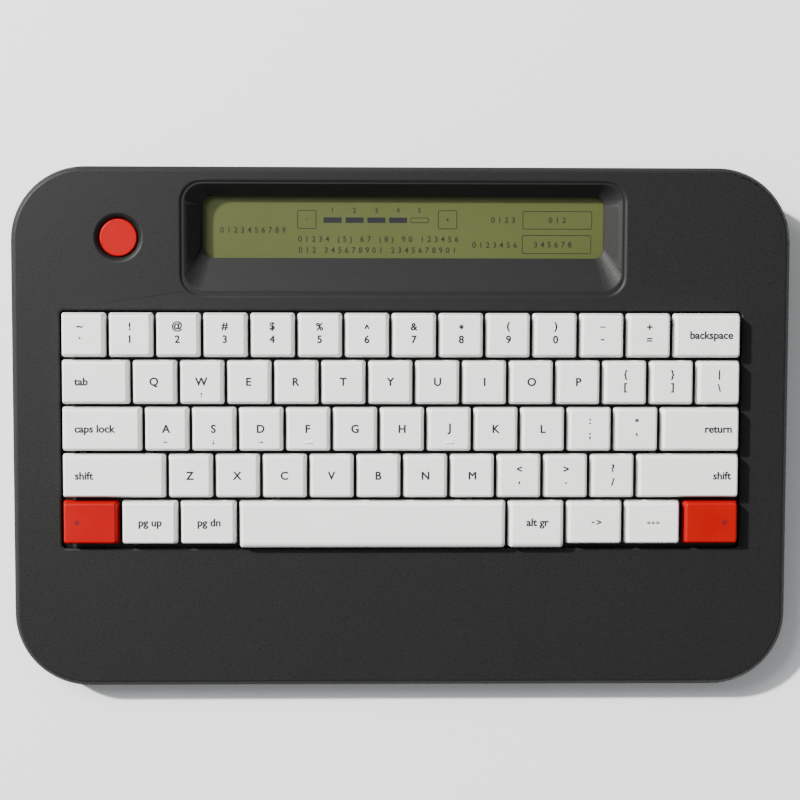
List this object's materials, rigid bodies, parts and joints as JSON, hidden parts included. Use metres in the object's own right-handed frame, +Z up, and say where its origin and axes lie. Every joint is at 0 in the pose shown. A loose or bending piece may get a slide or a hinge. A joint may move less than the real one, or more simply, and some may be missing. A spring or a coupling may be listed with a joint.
{
  "type": "electronic word processor",
  "caption": "Slab-shaped electronic word processor with a full low-profile keyboard, a text display sunk behind it, a round power button and a fold-out stand underneath.",
  "frame": {"origin": "centre of the outline, on the table plane that the feet rest on", "axes": "+X along the keyboard to the user's right, +Y from the user to the rear, +Z up"},
  "size_m": [0.3158, 0.2112, 0.0286],
  "materials": {
    "case_plastic": "fine moulded texture",
    "keycap_white": "smooth satin",
    "keycap_red": "smooth satin",
    "button_red": "satin",
    "cover_clear": "clear polished",
    "lcd": "matt olive reflective",
    "light_guide": "white",
    "plate_steel": "black powder coat",
    "board": "solder mask",
    "housing_black": "moulded",
    "wire_steel": "drawn",
    "battery_foil": "wrapped foil",
    "port_steel": "drawn",
    "stand_plastic": "fine moulded texture",
    "foot_rubber": "soft",
    "screw_steel": "blackened"
  },
  "bodies": {
    "case": {"top_case": "case_plastic", "bottom_case": "case_plastic", "display_window": "cover_clear", "display_glass": "lcd", "display_backlight": "light_guide", "key_plate": "plate_steel", "keyboard_circuit_board": "board", "switch_and_stabiliser_housings": "housing_black", "main_circuit_board": "board", "battery": "battery_foil", "charging_port": "port_steel", "rubber_feet": "foot_rubber", "case_screws": "screw_steel"},
    "stand": {"fold_out_stand": "stand_plastic"},
    "power_button": {"power_button": "button_red"},
    "number_row_keys": {"number_row_keys": "keycap_white"},
    "symbol_keys": {"symbol_keys": "keycap_white"},
    "key_space": {"key_space": "keycap_white"},
    "key_red_left": {"key_red_left": "keycap_red"},
    "key_red_right": {"key_red_right": "keycap_red"},
    "key_return": {"key_return": "keycap_white"},
    "key_shift_left": {"key_shift_left": "keycap_white"},
    "key_shift_right": {"key_shift_right": "keycap_white"},
    "key_backspace": {"key_backspace": "keycap_white"},
    "key_tab": {"key_tab": "keycap_white"},
    "key_caps_lock": {"key_caps_lock": "keycap_white"},
    "key_page_up": {"key_page_up": "keycap_white"},
    "key_page_down": {"key_page_down": "keycap_white"},
    "key_alt": {"key_alt": "keycap_white"},
    "key_transfer": {"key_transfer": "keycap_white"},
    "key_options": {"key_options": "keycap_white"},
    "key_q": {"key_q": "keycap_white"},
    "key_w": {"key_w": "keycap_white"},
    "key_e": {"key_e": "keycap_white"},
    "key_r": {"key_r": "keycap_white"},
    "key_t": {"key_t": "keycap_white"},
    "key_y": {"key_y": "keycap_white"},
    "key_u": {"key_u": "keycap_white"},
    "key_i": {"key_i": "keycap_white"},
    "key_o": {"key_o": "keycap_white"},
    "key_p": {"key_p": "keycap_white"},
    "key_a": {"key_a": "keycap_white"},
    "key_s": {"key_s": "keycap_white"},
    "key_d": {"key_d": "keycap_white"},
    "key_f": {"key_f": "keycap_white"},
    "key_g": {"key_g": "keycap_white"},
    "key_h": {"key_h": "keycap_white"},
    "key_j": {"key_j": "keycap_white"},
    "key_k": {"key_k": "keycap_white"},
    "key_l": {"key_l": "keycap_white"},
    "key_z": {"key_z": "keycap_white"},
    "key_x": {"key_x": "keycap_white"},
    "key_c": {"key_c": "keycap_white"},
    "key_v": {"key_v": "keycap_white"},
    "key_b": {"key_b": "keycap_white"},
    "key_n": {"key_n": "keycap_white"},
    "key_m": {"key_m": "keycap_white"},
    "left_shift_wire": {"left_shift_wire": "wire_steel"},
    "right_shift_wire": {"right_shift_wire": "wire_steel"},
    "space_bar_wire": {"space_bar_wire": "wire_steel"}
  },
  "joints": [
    {"name": "stand_hinge", "type": "hinge", "parent": "case", "child": "stand", "pos_m": [0, 0.08457, 0.0041], "axis": [1, 0, 0], "range_deg": [0, 72]},
    {"name": "power_button_press", "type": "slide", "parent": "case", "child": "power_button", "axis": [0, -0.0698, 0.9976], "range_m": [-0.0005, 0], "stiffness_N_per_m": 400, "springref_m": 0.0015},
    {"name": "number_row_keys_press", "type": "slide", "parent": "case", "child": "number_row_keys", "axis": [0, -0.0698, 0.9976], "range_m": [-0.003, 0], "stiffness_N_per_m": 1300, "springref_m": 0.003},
    {"name": "symbol_keys_press", "type": "slide", "parent": "case", "child": "symbol_keys", "axis": [0, -0.0698, 0.9976], "range_m": [-0.003, 0], "stiffness_N_per_m": 800, "springref_m": 0.003},
    {"name": "key_space_press", "type": "slide", "parent": "case", "child": "key_space", "axis": [0, -0.0698, 0.9976], "range_m": [-0.003, 0], "stiffness_N_per_m": 150, "springref_m": 0.003},
    {"name": "key_red_left_press", "type": "slide", "parent": "case", "child": "key_red_left", "axis": [0, -0.0698, 0.9976], "range_m": [-0.003, 0], "stiffness_N_per_m": 100, "springref_m": 0.003},
    {"name": "key_red_right_press", "type": "slide", "parent": "case", "child": "key_red_right", "axis": [0, -0.0698, 0.9976], "range_m": [-0.003, 0], "stiffness_N_per_m": 100, "springref_m": 0.003},
    {"name": "key_return_press", "type": "slide", "parent": "case", "child": "key_return", "axis": [0, -0.0698, 0.9976], "range_m": [-0.003, 0], "stiffness_N_per_m": 100, "springref_m": 0.003},
    {"name": "key_shift_left_press", "type": "slide", "parent": "case", "child": "key_shift_left", "axis": [0, -0.0698, 0.9976], "range_m": [-0.003, 0], "stiffness_N_per_m": 100, "springref_m": 0.003},
    {"name": "key_shift_right_press", "type": "slide", "parent": "case", "child": "key_shift_right", "axis": [0, -0.0698, 0.9976], "range_m": [-0.003, 0], "stiffness_N_per_m": 100, "springref_m": 0.003},
    {"name": "key_backspace_press", "type": "slide", "parent": "case", "child": "key_backspace", "axis": [0, -0.0698, 0.9976], "range_m": [-0.003, 0], "stiffness_N_per_m": 100, "springref_m": 0.003},
    {"name": "key_tab_press", "type": "slide", "parent": "case", "child": "key_tab", "axis": [0, -0.0698, 0.9976], "range_m": [-0.003, 0], "stiffness_N_per_m": 100, "springref_m": 0.003},
    {"name": "key_caps_lock_press", "type": "slide", "parent": "case", "child": "key_caps_lock", "axis": [0, -0.0698, 0.9976], "range_m": [-0.003, 0], "stiffness_N_per_m": 100, "springref_m": 0.003},
    {"name": "key_page_up_press", "type": "slide", "parent": "case", "child": "key_page_up", "axis": [0, -0.0698, 0.9976], "range_m": [-0.003, 0], "stiffness_N_per_m": 100, "springref_m": 0.003},
    {"name": "key_page_down_press", "type": "slide", "parent": "case", "child": "key_page_down", "axis": [0, -0.0698, 0.9976], "range_m": [-0.003, 0], "stiffness_N_per_m": 100, "springref_m": 0.003},
    {"name": "key_alt_press", "type": "slide", "parent": "case", "child": "key_alt", "axis": [0, -0.0698, 0.9976], "range_m": [-0.003, 0], "stiffness_N_per_m": 100, "springref_m": 0.003},
    {"name": "key_transfer_press", "type": "slide", "parent": "case", "child": "key_transfer", "axis": [0, -0.0698, 0.9976], "range_m": [-0.003, 0], "stiffness_N_per_m": 100, "springref_m": 0.003},
    {"name": "key_options_press", "type": "slide", "parent": "case", "child": "key_options", "axis": [0, -0.0698, 0.9976], "range_m": [-0.003, 0], "stiffness_N_per_m": 100, "springref_m": 0.003},
    {"name": "key_q_press", "type": "slide", "parent": "case", "child": "key_q", "axis": [0, -0.0698, 0.9976], "range_m": [-0.003, 0], "stiffness_N_per_m": 100, "springref_m": 0.003},
    {"name": "key_w_press", "type": "slide", "parent": "case", "child": "key_w", "axis": [0, -0.0698, 0.9976], "range_m": [-0.003, 0], "stiffness_N_per_m": 100, "springref_m": 0.003},
    {"name": "key_e_press", "type": "slide", "parent": "case", "child": "key_e", "axis": [0, -0.0698, 0.9976], "range_m": [-0.003, 0], "stiffness_N_per_m": 100, "springref_m": 0.003},
    {"name": "key_r_press", "type": "slide", "parent": "case", "child": "key_r", "axis": [0, -0.0698, 0.9976], "range_m": [-0.003, 0], "stiffness_N_per_m": 100, "springref_m": 0.003},
    {"name": "key_t_press", "type": "slide", "parent": "case", "child": "key_t", "axis": [0, -0.0698, 0.9976], "range_m": [-0.003, 0], "stiffness_N_per_m": 100, "springref_m": 0.003},
    {"name": "key_y_press", "type": "slide", "parent": "case", "child": "key_y", "axis": [0, -0.0698, 0.9976], "range_m": [-0.003, 0], "stiffness_N_per_m": 100, "springref_m": 0.003},
    {"name": "key_u_press", "type": "slide", "parent": "case", "child": "key_u", "axis": [0, -0.0698, 0.9976], "range_m": [-0.003, 0], "stiffness_N_per_m": 100, "springref_m": 0.003},
    {"name": "key_i_press", "type": "slide", "parent": "case", "child": "key_i", "axis": [0, -0.0698, 0.9976], "range_m": [-0.003, 0], "stiffness_N_per_m": 100, "springref_m": 0.003},
    {"name": "key_o_press", "type": "slide", "parent": "case", "child": "key_o", "axis": [0, -0.0698, 0.9976], "range_m": [-0.003, 0], "stiffness_N_per_m": 100, "springref_m": 0.003},
    {"name": "key_p_press", "type": "slide", "parent": "case", "child": "key_p", "axis": [0, -0.0698, 0.9976], "range_m": [-0.003, 0], "stiffness_N_per_m": 100, "springref_m": 0.003},
    {"name": "key_a_press", "type": "slide", "parent": "case", "child": "key_a", "axis": [0, -0.0698, 0.9976], "range_m": [-0.003, 0], "stiffness_N_per_m": 100, "springref_m": 0.003},
    {"name": "key_s_press", "type": "slide", "parent": "case", "child": "key_s", "axis": [0, -0.0698, 0.9976], "range_m": [-0.003, 0], "stiffness_N_per_m": 100, "springref_m": 0.003},
    {"name": "key_d_press", "type": "slide", "parent": "case", "child": "key_d", "axis": [0, -0.0698, 0.9976], "range_m": [-0.003, 0], "stiffness_N_per_m": 100, "springref_m": 0.003},
    {"name": "key_f_press", "type": "slide", "parent": "case", "child": "key_f", "axis": [0, -0.0698, 0.9976], "range_m": [-0.003, 0], "stiffness_N_per_m": 100, "springref_m": 0.003},
    {"name": "key_g_press", "type": "slide", "parent": "case", "child": "key_g", "axis": [0, -0.0698, 0.9976], "range_m": [-0.003, 0], "stiffness_N_per_m": 100, "springref_m": 0.003},
    {"name": "key_h_press", "type": "slide", "parent": "case", "child": "key_h", "axis": [0, -0.0698, 0.9976], "range_m": [-0.003, 0], "stiffness_N_per_m": 100, "springref_m": 0.003},
    {"name": "key_j_press", "type": "slide", "parent": "case", "child": "key_j", "axis": [0, -0.0698, 0.9976], "range_m": [-0.003, 0], "stiffness_N_per_m": 100, "springref_m": 0.003},
    {"name": "key_k_press", "type": "slide", "parent": "case", "child": "key_k", "axis": [0, -0.0698, 0.9976], "range_m": [-0.003, 0], "stiffness_N_per_m": 100, "springref_m": 0.003},
    {"name": "key_l_press", "type": "slide", "parent": "case", "child": "key_l", "axis": [0, -0.0698, 0.9976], "range_m": [-0.003, 0], "stiffness_N_per_m": 100, "springref_m": 0.003},
    {"name": "key_z_press", "type": "slide", "parent": "case", "child": "key_z", "axis": [0, -0.0698, 0.9976], "range_m": [-0.003, 0], "stiffness_N_per_m": 100, "springref_m": 0.003},
    {"name": "key_x_press", "type": "slide", "parent": "case", "child": "key_x", "axis": [0, -0.0698, 0.9976], "range_m": [-0.003, 0], "stiffness_N_per_m": 100, "springref_m": 0.003},
    {"name": "key_c_press", "type": "slide", "parent": "case", "child": "key_c", "axis": [0, -0.0698, 0.9976], "range_m": [-0.003, 0], "stiffness_N_per_m": 100, "springref_m": 0.003},
    {"name": "key_v_press", "type": "slide", "parent": "case", "child": "key_v", "axis": [0, -0.0698, 0.9976], "range_m": [-0.003, 0], "stiffness_N_per_m": 100, "springref_m": 0.003},
    {"name": "key_b_press", "type": "slide", "parent": "case", "child": "key_b", "axis": [0, -0.0698, 0.9976], "range_m": [-0.003, 0], "stiffness_N_per_m": 100, "springref_m": 0.003},
    {"name": "key_n_press", "type": "slide", "parent": "case", "child": "key_n", "axis": [0, -0.0698, 0.9976], "range_m": [-0.003, 0], "stiffness_N_per_m": 100, "springref_m": 0.003},
    {"name": "key_m_press", "type": "slide", "parent": "case", "child": "key_m", "axis": [0, -0.0698, 0.9976], "range_m": [-0.003, 0], "stiffness_N_per_m": 100, "springref_m": 0.003},
    {"name": "left_shift_wire_turn", "type": "hinge", "parent": "case", "child": "left_shift_wire", "pos_m": [0, -0.01023, 0.01395], "axis": [1, 0, 0], "range_deg": [0, 25]},
    {"name": "right_shift_wire_turn", "type": "hinge", "parent": "case", "child": "right_shift_wire", "pos_m": [0, -0.01023, 0.01395], "axis": [1, 0, 0], "range_deg": [0, 25]},
    {"name": "space_bar_wire_turn", "type": "hinge", "parent": "case", "child": "space_bar_wire", "pos_m": [0, -0.02923, 0.01262], "axis": [1, 0, 0], "range_deg": [0, 25]}
  ],
  "couplings": [
    {"joint": "left_shift_wire_turn", "follows": "key_shift_left_press", "rad_per_m": -140.77},
    {"joint": "right_shift_wire_turn", "follows": "key_shift_right_press", "rad_per_m": -140.77},
    {"joint": "space_bar_wire_turn", "follows": "key_space_press", "rad_per_m": -140.77}
  ]
}
